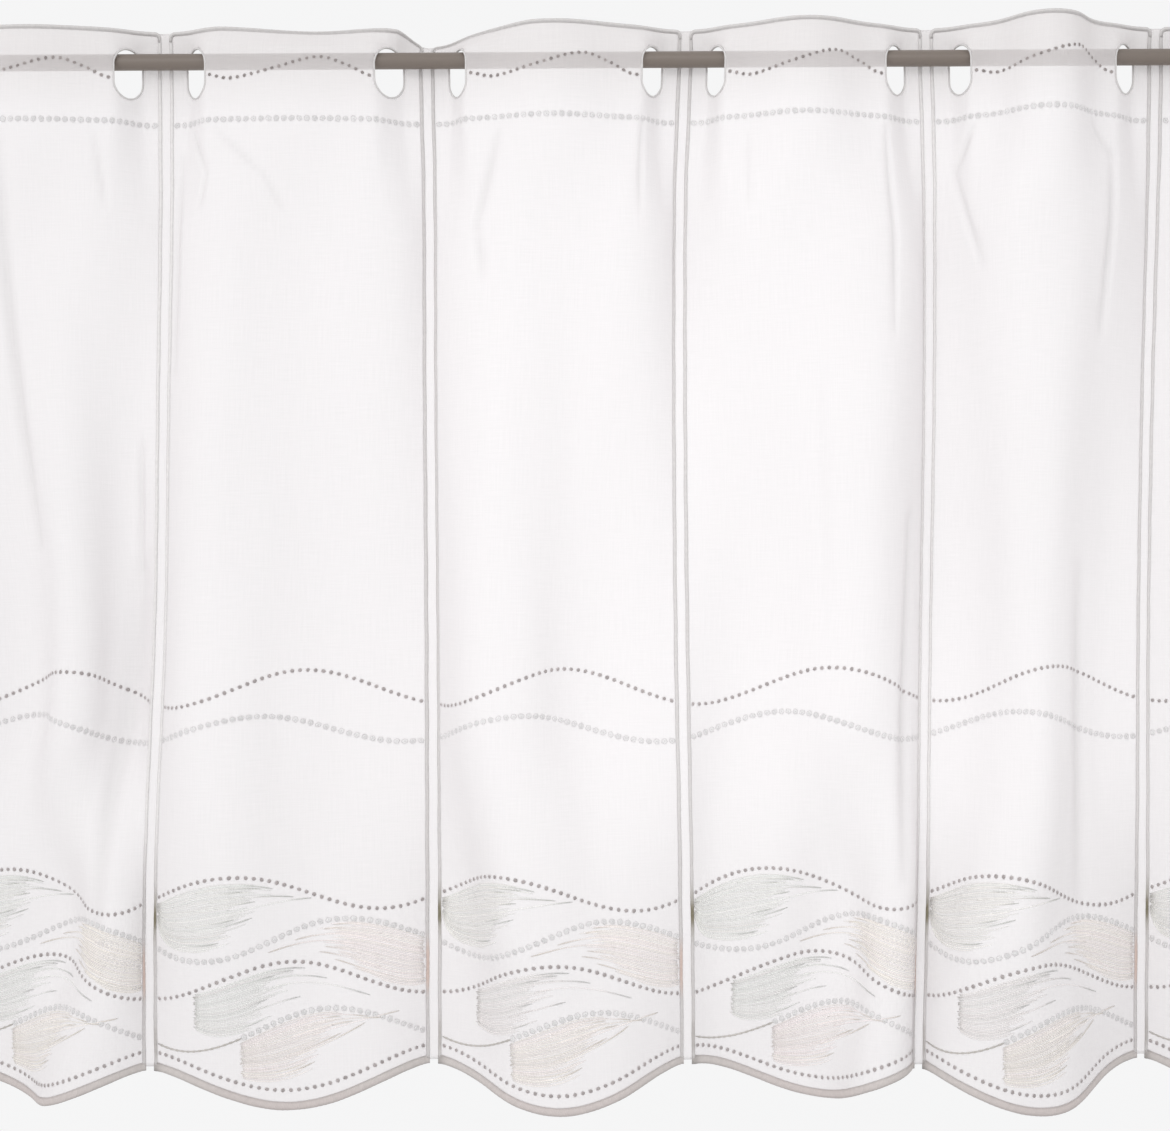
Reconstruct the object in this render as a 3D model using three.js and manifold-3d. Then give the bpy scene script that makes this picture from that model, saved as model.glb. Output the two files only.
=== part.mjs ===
// A cafe curtain: one sheer cloth of six embroidered panels, hung on a thin round rod.
// Millimetres, +Z up, X along the rod, -Y towards the room.
// The origin is the centre of the rod's left end face, so the rod's axis is the X axis.
//
// The cloth is drawn flat and then hung. A place on the flat cloth is (across, down): across runs from
// the left end over all the panels, down runs from the top edge. cloth() turns it into a place in space.
// At each height the cloth's section is a curve of the panel's full flat width, so a deeper fold takes
// in more cloth. The rod goes in front of the cloth at each seam and behind it across each panel.

import * as THREE from "three";
import { mergeVertices } from "three/addons/utils/BufferGeometryUtils.js";
import Module from "manifold-3d";

const wasm = await Module();
wasm.setup();

// ---- driving dimensions -------------------------------------------------------------------------

const rod = { diameter: 9, length: 870, sides: 24 };

const panel = { count: 6, width: 158 };

const sheet = { thickness: 1 };

const gap = 0.3; // between pieces that touch in the real curtain

const heading = {
  aboveRod: 18.2, // from the rod's axis up to the top edge
  bend: 5.5, // how far above the axis the part in front of the rod starts to lean
  bottom: 51.4, // where the heading's stitched line runs
  depth: 7.5, // how far the cloth stands behind the rod at a seam, and in front of it on a panel
  fadeStart: 42, // below this the slots no longer shape the cloth
  fadeEnd: 122,
};

const slot = {
  inner: 12.5, // from a seam to the slot's near edge
  top: 10.8,
  bottom: 38.8,
  rimWidth: 1.1,
  rimThickness: 1.3,
  cutThickness: 4,
  roundness: 0.35, // how gently the cloth turns at a slot's edges
  looseness: 1.4, // and at the top edge, above the rod
};

const satin = { columnWidth: 2.2, cordWidth: 2.4, borderWidth: 4.8, thickness: 1.1 };

// The strip at a seam: from the seam to the middle of each satin column, and to the column's near edge.
const strip = { half: 3.3, tabHalf: 3.3 - satin.columnWidth / 2, clearance: 0.4 };

const hem = { middle: 583.3, swing: 10 }; // the scalloped border's centre line: lowest at mid-panel

// How finely the pieces are faceted: numbers of steps, and flat places of the sheets' rows and columns.
const facets = {
  section: 79, // over a panel's section
  headingRows: [10.5, heading.aboveRod, 26, 40], // between the edges, one at the rod's axis
  slotColumns: 4,
  slotMargin: 1,
  middleColumns: 5, // between the slots
  clothRows: 13,
  clothColumns: 10,
  clothInset: 13, // from a seam to the first of them
  cutterColumns: 8,
  cutterRows: 5,
  rimArc: 7,
  cord: 16,
  border: 18,
  normalReach: 1.2, // to each side of a place, for the cloth's direction there
  leastAdvance: 0.1, // of a step, where the cloth runs straight back
  merge: 1e-4,
};

// ---- how it hangs -------------------------------------------------------------------------------

// From the left end over the five seams to the right end: the place across and the depth behind the
// rod's axis, at six distances down from the top edge.
const seamHeights = [0, 92, 202, 332, 462, 592];
const seams = [
  { across: [20, 20, 26, 34, 30, 20], depth: [7.5, 8, 10, 14, 18, 18] },
  { across: [164, 164, 162, 159, 155, 154], depth: [7.5, 7.5, 6, 8, -2, 0] },
  { across: [309, 310.5, 310.5, 310.5, 310.5, 310], depth: [7.5, 7.5, 7.5, 13, 12, 13] },
  { across: [453.5, 450, 449, 449.5, 451, 452], depth: [7.5, 8, 7, 7, 0, 9] },
  { across: [587, 589, 590, 589.5, 583, 578], depth: [7.5, 10, 18, 30, 7, -4.5] },
  { across: [715, 713.5, 711, 710, 707.5, 706.5], depth: [7.5, 9, 13, 19.5, 14.5, 16.5] },
  { across: [852, 852, 850, 848, 846, 846], depth: [7.5, 8, 10, 12, 10, 8] },
];

// Each panel's fold at four distances down: bow is one swell towards the room across the panel, and
// sway, ripple and flutter are its halves, thirds and quarters, each an amplitude.
const foldHeights = [53, 377, 482, 592];
const folds = [
  { bow: [17, 1.5, 0.5, 2], sway: [2, -3, -6, -16], ripple: [5, -6.5, 7, 1.5], flutter: [0, 7.5, -3, 1] },
  { bow: [18, 14.5, 19.5, 18], sway: [0, 10, 6.5, 0.5], ripple: [6, 3, 3, 3], flutter: [-1, 0, -1, 0] },
  { bow: [25, 18.5, 32.5, 34.5], sway: [-2, 12, 3, -1.5],
    ripple: [4, 1.5, -2.5, -1], flutter: [-1, -2, -2.5, -0.5] },
  { bow: [31, 10.5, -3, -6.5], sway: [0, -13.5, -6, -15.5],
    ripple: [3, -1, 4.5, 5], flutter: [-1, 0.5, -6.5, -2.5] },
  { bow: [40, 17.5, 38, 34], sway: [2, 2, 8.5, 6], ripple: [-1, -6.5, -2, 0], flutter: [-1, -0.5, -2, 1] },
  { bow: [24, 18, 20, 24], sway: [0, 3, 4, 4], ripple: [2, 2, 1, 1], flutter: [0, 0, 0, 0] },
];

// At the rod: each panel's two slots, by the flat width of each, and the swell between them.
const slots = [
  { leftWidth: 17, rightWidth: 19, swell: 5 },
  { leftWidth: 18, rightWidth: 20.5, swell: 3 },
  { leftWidth: 16.5, rightWidth: 17.5, swell: 11 },
  { leftWidth: 16.5, rightWidth: 18.5, swell: 15 },
  { leftWidth: 16.5, rightWidth: 18.5, swell: 25 },
  { leftWidth: 16.5, rightWidth: 17, swell: 12 },
];

// Where the heading leans back over the rod: its middle on the flat cloth, its reach to each side, the
// angle from upright. In front of the rod it stands up past the rod's top before it leans.
const leans = [
  { at: panel.width * 2, reachLeft: 17, reachRight: 65, degrees: 48 },
  { at: panel.width + 90, reachLeft: 55, reachRight: 45, degrees: 35 },
];

// A smooth curve through values at the given heights, level beyond the first and the last.
function throughHeights(heights, values, down) {
  const last = heights.length - 1;
  if (down <= heights[0]) return values[0];
  if (down >= heights[last]) return values[last];
  const i = heights.findIndex((h) => h > down) - 1;
  const span = heights[i + 1] - heights[i];
  const t = (down - heights[i]) / span;
  const slopeAt = (k) =>
    k <= 0 || k >= last ? 0 : (values[k + 1] - values[k - 1]) / (heights[k + 1] - heights[k - 1]);
  const t2 = t * t;
  const t3 = t2 * t;
  return (
    (2 * t3 - 3 * t2 + 1) * values[i] +
    (t3 - 2 * t2 + t) * span * slopeAt(i) +
    (3 * t2 - 2 * t3) * values[i + 1] +
    (t3 - t2) * span * slopeAt(i + 1)
  );
}

// From 1 at start to 0 at end, easing at both.
function fade(value, start, end) {
  const t = THREE.MathUtils.clamp((value - start) / (end - start), 0, 1);
  return 1 - t * t * (3 - 2 * t);
}

// From 0 to 1 across a slot: x is -1 at its near edge and 1 at its far edge.
function acrossSlot(x, ease) {
  return 0.5 + (Math.hypot(x + 1, ease) - Math.hypot(x - 1, ease)) / 4;
}

// The depth of panel i at the rod: behind it at both seams, in front between the slots, with a swell.
function depthAtRod(i, along, down) {
  const { leftWidth, rightWidth, swell } = slots[i];
  const toRight = panel.width - along;
  const ease = slot.roundness + (slot.looseness - slot.roundness) * fade(down, 0, slot.top);
  const out =
    acrossSlot(((along - slot.inner) / leftWidth) * 2 - 1, ease) *
    acrossSlot(((toRight - slot.inner) / rightWidth) * 2 - 1, ease);
  const first = slot.inner + leftWidth;
  const between = panel.width - first - slot.inner - rightWidth;
  const share = THREE.MathUtils.clamp((along - first) / between, 0, 1);
  return heading.depth * (1 - 2 * out) - swell * Math.sin(Math.PI * share) ** 2;
}

// The depth of panel i away from the rod: a sum of sines between the two strips, on the seams' depths.
function depthBelow(i, along, down) {
  const from = throughHeights(seamHeights, seams[i].depth, down);
  const to = throughHeights(seamHeights, seams[i + 1].depth, down);
  const inner = panel.width - 2 * strip.half;
  const t = THREE.MathUtils.clamp((along - strip.half) / inner, 0, 1);
  const { bow, sway, ripple, flutter } = folds[i];
  const swell = [bow, sway, ripple, flutter].reduce(
    (sum, row, k) => sum + throughHeights(foldHeights, row, down) * Math.sin(Math.PI * (k + 1) * t),
    0,
  );
  return from + (to - from) * t - swell;
}

function depthOf(i, along, down) {
  const held = fade(down, heading.fadeStart, heading.fadeEnd);
  return held * depthAtRod(i, along, down) + (1 - held) * depthBelow(i, along, down);
}

// Panel i's section at a height: the place across at even steps of flat cloth. Each step moves on by
// what its change of depth leaves of it, and the whole is spread to end on the next seam.
const sections = new Map();
function sectionOf(i, down) {
  const key = i + ":" + down.toFixed(3);
  if (sections.has(key)) return sections.get(key);
  const step = panel.width / facets.section;
  const places = [0];
  for (let k = 1; k <= facets.section; k++) {
    const rise = depthOf(i, k * step, down) - depthOf(i, (k - 1) * step, down);
    const least = facets.leastAdvance * step;
    places.push(places[k - 1] + Math.sqrt(Math.max(step ** 2 - rise ** 2, least ** 2)));
  }
  const from = throughHeights(seamHeights, seams[i].across, down);
  const to = throughHeights(seamHeights, seams[i + 1].across, down);
  const spread = (to - from) / places[facets.section];
  const section = places.map((place) => from + place * spread);
  sections.set(key, section);
  return section;
}

function leanAt(across) {
  return leans.reduce((sum, { at, reachLeft, reachRight, degrees }) => {
    const away = across < at ? (at - across) / reachLeft : (across - at) / reachRight;
    return sum + (away < 1 ? THREE.MathUtils.degToRad(degrees) * Math.cos((Math.PI / 2) * away) : 0);
  }, 0);
}

// The cloth's middle surface: above the rod's axis, or above its top in front, it leans back by leans.
function middle(across, down) {
  const i = THREE.MathUtils.clamp(Math.floor(across / panel.width), 0, panel.count - 1);
  const along = THREE.MathUtils.clamp(across - i * panel.width, 0, panel.width);
  const section = sectionOf(i, down);
  const k = Math.min(Math.floor((along / panel.width) * facets.section), facets.section - 1);
  const part = (along / panel.width) * facets.section - k;
  const x = section[k] + (section[k + 1] - section[k]) * part;
  const y = depthOf(i, along, down);
  const inFront = THREE.MathUtils.clamp(0.5 - y / heading.depth / 2, 0, 1);
  const upright = Math.min(heading.aboveRod - down, heading.bend * inFront);
  const leaning = Math.max(heading.aboveRod - down - upright, 0);
  const lean = leanAt(across);
  return new THREE.Vector3(x, y + leaning * Math.sin(lean), upright + leaning * Math.cos(lean));
}

// A place on the hung cloth, raised towards the room by lift from its middle surface.
function cloth(across, down, lift = 0) {
  const place = middle(across, down);
  if (lift === 0) return place;
  const reach = facets.normalReach;
  const width = panel.count * panel.width;
  const right = middle(Math.min(across + reach, width), down);
  const left = middle(Math.max(across - reach, 0), down);
  const low = middle(across, down + reach);
  const high = middle(across, Math.max(down - reach, 0));
  const out = right.sub(left).cross(low.sub(high)).normalize().negate();
  if (out.y > 0) out.negate();
  return place.addScaledVector(out, lift);
}

// ---- meshes -------------------------------------------------------------------------------------

function closedGeometry(points, faces) {
  const geometry = new THREE.BufferGeometry();
  const positions = points.flatMap((p) => [p.x, p.y, p.z]);
  geometry.setAttribute("position", new THREE.Float32BufferAttribute(positions, 3));
  const volume = faces.reduce((sum, [a, b, c]) => {
    const cross = new THREE.Vector3().crossVectors(points[b], points[c]);
    return sum + points[a].dot(cross);
  }, 0);
  geometry.setIndex(faces.flatMap(([a, b, c]) => (volume > 0 ? [a, b, c] : [a, c, b])));
  geometry.computeVertexNormals();
  return geometry;
}

const quad = (a, b, c, d) => [[a, b, c], [a, c, d]];

// A sheet over the flat columns, each with its own rows from rowsOf, with a back, a front and a rim.
function sheetGeometry(columns, rowsOf, thickness = sheet.thickness) {
  const points = [];
  for (const lift of [thickness / 2, -thickness / 2])
    for (const across of columns) points.push(...rowsOf(across).map((down) => cloth(across, down, lift)));
  const rows = rowsOf(columns[0]).length - 1;
  const at = (side, c, r) => (side * columns.length + c) * (rows + 1) + r;
  const last = columns.length - 1;
  const faces = [];
  for (let c = 0; c < last; c++) {
    for (let r = 0; r < rows; r++) {
      faces.push(...quad(at(0, c, r), at(0, c, r + 1), at(0, c + 1, r + 1), at(0, c + 1, r)));
      faces.push(...quad(at(1, c, r), at(1, c + 1, r), at(1, c + 1, r + 1), at(1, c, r + 1)));
    }
    faces.push(...quad(at(0, c, 0), at(0, c + 1, 0), at(1, c + 1, 0), at(1, c, 0)));
    faces.push(...quad(at(0, c, rows), at(1, c, rows), at(1, c + 1, rows), at(0, c + 1, rows)));
  }
  for (let r = 0; r < rows; r++) {
    faces.push(...quad(at(0, 0, r), at(1, 0, r), at(1, 0, r + 1), at(0, 0, r + 1)));
    faces.push(...quad(at(0, last, r), at(0, last, r + 1), at(1, last, r + 1), at(1, last, r)));
  }
  return closedGeometry(points, faces);
}

// A stitched band along a flat path of [across, down] points: a four-sided section that lies on the
// cloth, from lift low to lift high. A closed path makes a ring.
function bandGeometry(path, width, low, high, closed = false) {
  const count = path.length;
  const points = [];
  path.forEach(([across, down], k) => {
    const before = path[closed ? (k + count - 1) % count : Math.max(k - 1, 0)];
    const after = path[closed ? (k + 1) % count : Math.min(k + 1, count - 1)];
    const side = new THREE.Vector2(before[1] - after[1], after[0] - before[0]).setLength(width / 2);
    for (const [turn, lift] of [[1, low], [-1, low], [-1, high], [1, high]])
      points.push(cloth(across + turn * side.x, down + turn * side.y, lift));
  });
  const faces = [];
  for (let k = 0; k < (closed ? count : count - 1); k++)
    for (let e = 0; e < 4; e++) {
      const next = (k + 1) % count;
      const f = (e + 1) % 4;
      faces.push(...quad(k * 4 + e, k * 4 + f, next * 4 + f, next * 4 + e));
    }
  if (!closed) {
    const end = (count - 1) * 4;
    faces.push(...quad(3, 2, 1, 0), ...quad(end, end + 1, end + 2, end + 3));
  }
  return closedGeometry(points, faces);
}

// Even steps from a to b.
const steps = (a, b, count) => Array.from({ length: count + 1 }, (_, k) => a + ((b - a) * k) / count);

// A slot's outline on the flat cloth: a stadium of the given width, grown by grow all round.
function slotOutline(middleAcross, width, grow, arcSteps) {
  const radius = width / 2 + grow;
  const topCentre = slot.top + width / 2;
  const bottomCentre = slot.bottom - width / 2;
  const arc = (centre, start) =>
    steps(start, start + Math.PI, arcSteps).map((a) => [
      middleAcross + radius * Math.cos(a),
      centre + radius * Math.sin(a),
    ]);
  return [...arc(bottomCentre, 0), ...arc(topCentre, Math.PI)];
}

// ---- the pieces ---------------------------------------------------------------------------------

const hemLine = (across) => hem.middle - hem.swing * Math.cos((2 * Math.PI * across) / panel.width);

function fromSeam(across) {
  const along = across % panel.width;
  return Math.min(along, panel.width - along);
}

const inTab = (across) => fromSeam(across) < strip.tabHalf + strip.clearance / 2;

// The rows of the heading and of the long cloth. The strip at a seam runs on as a short tab to each
// edge, between the cords and between the borders.
const topEdge = satin.cordWidth + 2 * gap;
function headingRows(across) {
  return [inTab(across) ? gap : topEdge, ...facets.headingRows, heading.bottom];
}
function clothRows(across) {
  const bottom = hemLine(across) - satin.borderWidth / 2 - 2 * gap;
  const rows = steps(heading.bottom + gap, bottom, facets.clothRows);
  return inTab(across) ? [...rows.slice(0, -1), hemLine(across) + satin.borderWidth / 2] : rows;
}

// The flat columns of panel i: the edges of the tab and of the satin column at each seam, and between
// them the given ones.
function columnsOf(i, inner) {
  const near = [0, strip.tabHalf, strip.tabHalf + strip.clearance, strip.half + satin.columnWidth / 2];
  const far = near.map((along) => panel.width - along).reverse();
  return [...near, ...inner, ...far].map((along) => i * panel.width + along);
}

function slotColumns(i) {
  const { leftWidth, rightWidth } = slots[i];
  const leftEnd = slot.inner + leftWidth;
  const rightEnd = panel.width - slot.inner - rightWidth;
  const margin = facets.slotMargin;
  return [
    ...steps(slot.inner - margin, leftEnd + margin, facets.slotColumns),
    ...steps(leftEnd, rightEnd, facets.middleColumns).slice(1, -1),
    ...steps(rightEnd - margin, panel.width - slot.inner + margin, facets.slotColumns),
  ];
}

// The heading is in six lengths that meet under the satin column left of each seam.
function headingColumns(i) {
  const columns = columnsOf(i, slotColumns(i));
  const start = i * panel.width;
  const strips = columnsOf(i - 1, []).filter((across) => across > start - strip.half && across < start);
  const left = i > 0 ? [start - strip.half + gap / 2, ...strips] : [];
  const end = start + panel.width - strip.half;
  if (i === panel.count - 1) return [...left, ...columns];
  return [...left, ...columns.filter((across) => across < end), end - gap / 2];
}

function clothColumns() {
  const inner = steps(facets.clothInset, panel.width - facets.clothInset, facets.clothColumns);
  const panels = slots.map((_, i) => columnsOf(i, inner));
  return [...panels.flatMap((columns) => columns.slice(0, -1)), panel.count * panel.width];
}

function solidOf(geometry) {
  const bare = geometry.clone();
  bare.deleteAttribute("normal");
  bare.deleteAttribute("uv");
  const merged = mergeVertices(bare, facets.merge);
  return new wasm.Manifold(
    new wasm.Mesh({
      numProp: 3,
      vertProperties: new Float32Array(merged.attributes.position.array),
      triVerts: new Uint32Array(merged.index.array),
    }),
  );
}

function geometryOf(solid) {
  const mesh = solid.getMesh();
  const geometry = new THREE.BufferGeometry();
  geometry.setAttribute("position", new THREE.BufferAttribute(mesh.vertProperties, 3));
  geometry.setIndex(new THREE.BufferAttribute(mesh.triVerts, 1));
  geometry.computeVertexNormals();
  return geometry;
}

// A slot's cutter: a thick sheet over the slot's outline, so that it bends with the cloth it cuts.
function cutterGeometry(middleAcross, width) {
  const radius = width / 2 + gap;
  const columns = steps(-1, 1, facets.cutterColumns).map(
    (t) => middleAcross + radius * Math.sin((Math.PI / 2) * t),
  );
  return sheetGeometry(
    columns,
    (across) => {
      const rise = Math.sqrt(Math.max(radius ** 2 - (across - middleAcross) ** 2, 0));
      return steps(slot.top + width / 2 - rise, slot.bottom - width / 2 + rise, facets.cutterRows);
    },
    slot.cutThickness,
  );
}

// Panel i's two slots, with the flat place of the middle of each and its width.
function slotPlaces(i) {
  const { leftWidth, rightWidth } = slots[i];
  const start = i * panel.width;
  const end = start + panel.width;
  return [
    { side: "left", at: start + slot.inner + leftWidth / 2, width: leftWidth },
    { side: "right", at: end - slot.inner - rightWidth / 2, width: rightWidth },
  ];
}

function headingGeometry(i) {
  const whole = solidOf(sheetGeometry(headingColumns(i), headingRows));
  const cutters = slotPlaces(i).map(({ at, width }) => solidOf(cutterGeometry(at, width)));
  return geometryOf(cutters.reduce((solid, cutter) => solid.subtract(cutter), whole));
}

function rodMesh() {
  const radius = rod.diameter / 2;
  const mesh = new THREE.Mesh(new THREE.CylinderGeometry(radius, radius, rod.length, rod.sides), rodFinish);
  mesh.name = "rod";
  mesh.rotation.z = -Math.PI / 2;
  mesh.position.x = rod.length / 2;
  return mesh;
}

const finish = (color, roughness) => new THREE.MeshStandardMaterial({ color, roughness, metalness: 0 });
const voileFinish = finish(0xf4f2f2, 0.9);
const satinFinish = finish(0xb9b4b1, 0.6);
const borderFinish = finish(0xa79c95, 0.6);
const rodFinish = finish(0x857a72, 0.45);

function named(name, geometry, material) {
  const mesh = new THREE.Mesh(geometry, material);
  mesh.name = name;
  return mesh;
}

// One panel's satin stitching: a column down each side, a cord along the top, a border along the hem.
function satinMeshes(i) {
  const start = i * panel.width;
  const end = start + panel.width;
  const front = sheet.thickness / 2 + gap;
  const half = satin.thickness / 2;
  const inset = strip.tabHalf + strip.clearance;
  const rows = (across) => [...headingRows(across), ...clothRows(across).slice(1)];
  const column = (across) => rows(across).map((down) => [across, down]);
  const along = (line, count) =>
    steps(start + inset, end - inset, count).map((across) => [across, line(across)]);
  const cord = along(() => satin.cordWidth / 2, facets.cord);
  const border = along(hemLine, facets.border);
  const stands = (name, path) =>
    named(name, bandGeometry(path, satin.columnWidth, front, front + satin.thickness), satinFinish);
  return [
    stands(`satin_column_${i + 1}_left`, column(start + strip.half)),
    stands(`satin_column_${i + 1}_right`, column(end - strip.half)),
    named(`top_cord_${i + 1}`, bandGeometry(cord, satin.cordWidth, -half, half), satinFinish),
    named(`hem_border_${i + 1}`, bandGeometry(border, satin.borderWidth, -half, half), borderFinish),
  ];
}

function rimMeshes(i) {
  const half = slot.rimThickness / 2;
  return slotPlaces(i).map(({ side, at, width }) => {
    const path = slotOutline(at, width, -slot.rimWidth / 2, facets.rimArc);
    const geometry = bandGeometry(path, slot.rimWidth, -half, half, true);
    return named(`slot_rim_panel${i + 1}_${side}`, geometry, satinFinish);
  });
}

const curtain = new THREE.Group();
curtain.add(rodMesh());
curtain.add(named("curtain_cloth", sheetGeometry(clothColumns(), clothRows), voileFinish));
for (let i = 0; i < panel.count; i++) {
  curtain.add(named(`heading_panel_${i + 1}`, headingGeometry(i), voileFinish));
  curtain.add(...satinMeshes(i), ...rimMeshes(i));
}

export default curtain;
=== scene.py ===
import bmesh
import bpy
import math
import numpy as np
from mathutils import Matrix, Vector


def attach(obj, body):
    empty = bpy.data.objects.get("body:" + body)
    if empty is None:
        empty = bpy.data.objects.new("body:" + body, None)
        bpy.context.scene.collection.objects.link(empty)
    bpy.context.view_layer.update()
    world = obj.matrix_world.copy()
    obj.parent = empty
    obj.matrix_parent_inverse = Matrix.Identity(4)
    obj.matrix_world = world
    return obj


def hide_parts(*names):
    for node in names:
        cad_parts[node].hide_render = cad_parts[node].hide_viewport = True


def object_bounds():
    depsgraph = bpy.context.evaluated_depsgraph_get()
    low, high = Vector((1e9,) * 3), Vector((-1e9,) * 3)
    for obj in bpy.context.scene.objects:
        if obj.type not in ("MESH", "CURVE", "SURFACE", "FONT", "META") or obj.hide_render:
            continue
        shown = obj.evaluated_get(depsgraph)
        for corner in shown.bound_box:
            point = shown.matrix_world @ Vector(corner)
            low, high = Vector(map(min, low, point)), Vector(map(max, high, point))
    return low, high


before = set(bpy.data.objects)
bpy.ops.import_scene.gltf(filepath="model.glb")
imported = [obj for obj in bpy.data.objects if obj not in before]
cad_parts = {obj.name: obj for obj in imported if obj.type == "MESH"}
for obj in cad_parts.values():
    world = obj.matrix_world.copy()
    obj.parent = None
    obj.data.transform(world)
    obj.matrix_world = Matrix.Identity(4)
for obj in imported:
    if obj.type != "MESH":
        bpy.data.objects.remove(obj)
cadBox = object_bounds()
print("frame loaded")

# Lengths in the tables are millimetres, and meshes are written in metres.
# The cloth is drawn flat and then hung. A flat place is (across, down): across runs over all the panels
# from the left end, and down runs from the top edge.
mm = 0.001
rng = np.random.default_rng(7)

# A panel's satin columns stand an inset in from its seams.
panel = {"count": 6, "width": 158, "inset": 3.3}
panels = range(panel["count"])
sides = ("left", "right")

heading = {"aboveRod": 18.2, "bend": 5.5, "depth": 7.5, "fade": (42, 122)}

slot = {"inner": 12.5, "top": 10.8, "bottom": 38.8, "roundness": 0.35, "looseness": 1.4}

hem = {"middle": 583.3, "swing": 10}

# How far across and how deep each seam hangs, at six heights.
seamHeights = [0, 92, 202, 332, 462, 592]
seamAcross = [
    [20, 20, 26, 34, 30, 20], [164, 164, 162, 159, 155, 154], [309, 310.5, 310.5, 310.5, 310.5, 310],
    [453.5, 450, 449, 449.5, 451, 452], [587, 589, 590, 589.5, 583, 578],
    [715, 713.5, 711, 710, 707.5, 706.5], [852, 852, 850, 848, 846, 846],
]
seamDepth = [
    [7.5, 8, 10, 14, 18, 18], [7.5, 7.5, 6, 8, -2, 0], [7.5, 7.5, 7.5, 13, 12, 13], [7.5, 8, 7, 7, 0, 9],
    [7.5, 10, 18, 30, 7, -4.5], [7.5, 9, 13, 19.5, 14.5, 16.5], [7.5, 8, 10, 12, 10, 8],
]

# Each panel's folds towards the room at four heights: one, two, three and four half waves across it.
foldHeights = [53, 377, 482, 592]
folds = [
    [[17, 1.5, 0.5, 2], [2, -3, -6, -16], [5, -6.5, 7, 1.5], [0, 7.5, -3, 1]],
    [[18, 14.5, 19.5, 18], [0, 10, 6.5, 0.5], [6, 3, 3, 3], [-1, 0, -1, 0]],
    [[25, 18.5, 32.5, 34.5], [-2, 12, 3, -1.5], [4, 1.5, -2.5, -1], [-1, -2, -2.5, -0.5]],
    [[31, 10.5, -3, -6.5], [0, -13.5, -6, -15.5], [3, -1, 4.5, 5], [-1, 0.5, -6.5, -2.5]],
    [[40, 17.5, 38, 34], [2, 2, 8.5, 6], [-1, -6.5, -2, 0], [-1, -0.5, -2, 1]],
    [[24, 18, 20, 24], [0, 3, 4, 4], [2, 2, 1, 1], [0, 0, 0, 0]],
]

# The widths of each panel's left and right slot, and how far its cloth swells between them.
slots = [
    {"left": 17, "right": 19, "swell": 5},
    {"left": 18, "right": 20.5, "swell": 3},
    {"left": 16.5, "right": 17.5, "swell": 11},
    {"left": 16.5, "right": 18.5, "swell": 15},
    {"left": 16.5, "right": 18.5, "swell": 25},
    {"left": 16.5, "right": 17, "swell": 12},
]

# Where the heading leans back over the rod, and how far to each side.
leans = [
    {"at": 316, "left": 17, "right": 65, "degrees": 48},
    {"at": 248, "left": 55, "right": 45, "degrees": 35},
]


# Arrays of one coordinate each, as an array of places.
def joined(*parts):
    return np.stack(np.broadcast_arrays(*parts), axis=-1)


# Hermite curve through the values at the heights, level beyond the first and the last.
def throughHeights(heights, values, down):
    h = np.asarray(heights, float)
    v = np.asarray(values, float)
    slope = np.zeros_like(v)
    slope[1:-1] = (v[2:] - v[:-2]) / (h[2:] - h[:-2])
    d = np.clip(down, h[0], h[-1])
    i = np.clip(np.searchsorted(h, d, side="right") - 1, 0, len(h) - 2)
    span = h[i + 1] - h[i]
    t = (d - h[i]) / span
    return ((2 * t**3 - 3 * t**2 + 1) * v[i] + (t**3 - 2 * t**2 + t) * span * slope[i]
            + (3 * t**2 - 2 * t**3) * v[i + 1] + (t**3 - t**2) * span * slope[i + 1])


def blend(first, second, share):
    return first + (second - first) * share


# 1 at start, 0 at end, easing at both.
def fade(value, start, end):
    t = np.clip((value - start) / (end - start), 0, 1)
    return 1 - t * t * (3 - 2 * t)


# 0 to 1 across a slot, x from -1 at its near edge to 1 at its far edge.
def acrossSlot(x, ease):
    return 0.5 + (np.hypot(x + 1, ease) - np.hypot(x - 1, ease)) / 4


# Depth at the rod: behind it at both seams, in front between the slots, with a swell.
def depthAtRod(i, along, down):
    left, right, swell = slots[i]["left"], slots[i]["right"], slots[i]["swell"]
    inner, wide = slot["inner"], panel["width"]
    ease = blend(slot["roundness"], slot["looseness"], fade(down, 0, slot["top"]))
    out = (acrossSlot((along - inner) / left * 2 - 1, ease)
           * acrossSlot((wide - along - inner) / right * 2 - 1, ease))
    first = inner + left
    share = np.clip((along - first) / (wide - first - inner - right), 0, 1)
    return heading["depth"] * (1 - 2 * out) - swell * np.sin(np.pi * share) ** 2


# Depth away from the rod: sines of one to four half waves on the line between the seams' depths.
def depthBelow(i, along, down):
    begin, end = (throughHeights(seamHeights, seamDepth[n], down) for n in (i, i + 1))
    t = np.clip((along - panel["inset"]) / (panel["width"] - 2 * panel["inset"]), 0, 1)
    swell = sum(throughHeights(foldHeights, fold, down) * np.sin(np.pi * (n + 1) * t)
                for n, fold in enumerate(folds[i]))
    return blend(begin, end, t) - swell


# The depth at the rod, easing into the one below it.
def depthOf(i, along, down):
    held = fade(down, *heading["fade"])
    return blend(depthBelow(i, along, down), depthAtRod(i, along, down), held)


# How far the heading leans back, in radians: a cosine tent for each lean.
def leanAt(across):
    total = np.zeros_like(across)
    for lean in leans:
        away = np.where(across < lean["at"], (lean["at"] - across) / lean["left"],
                        (across - lean["at"]) / lean["right"])
        total += np.radians(lean["degrees"]) * np.cos(np.pi / 2 * np.clip(away, 0, 1))
    return total


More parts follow.
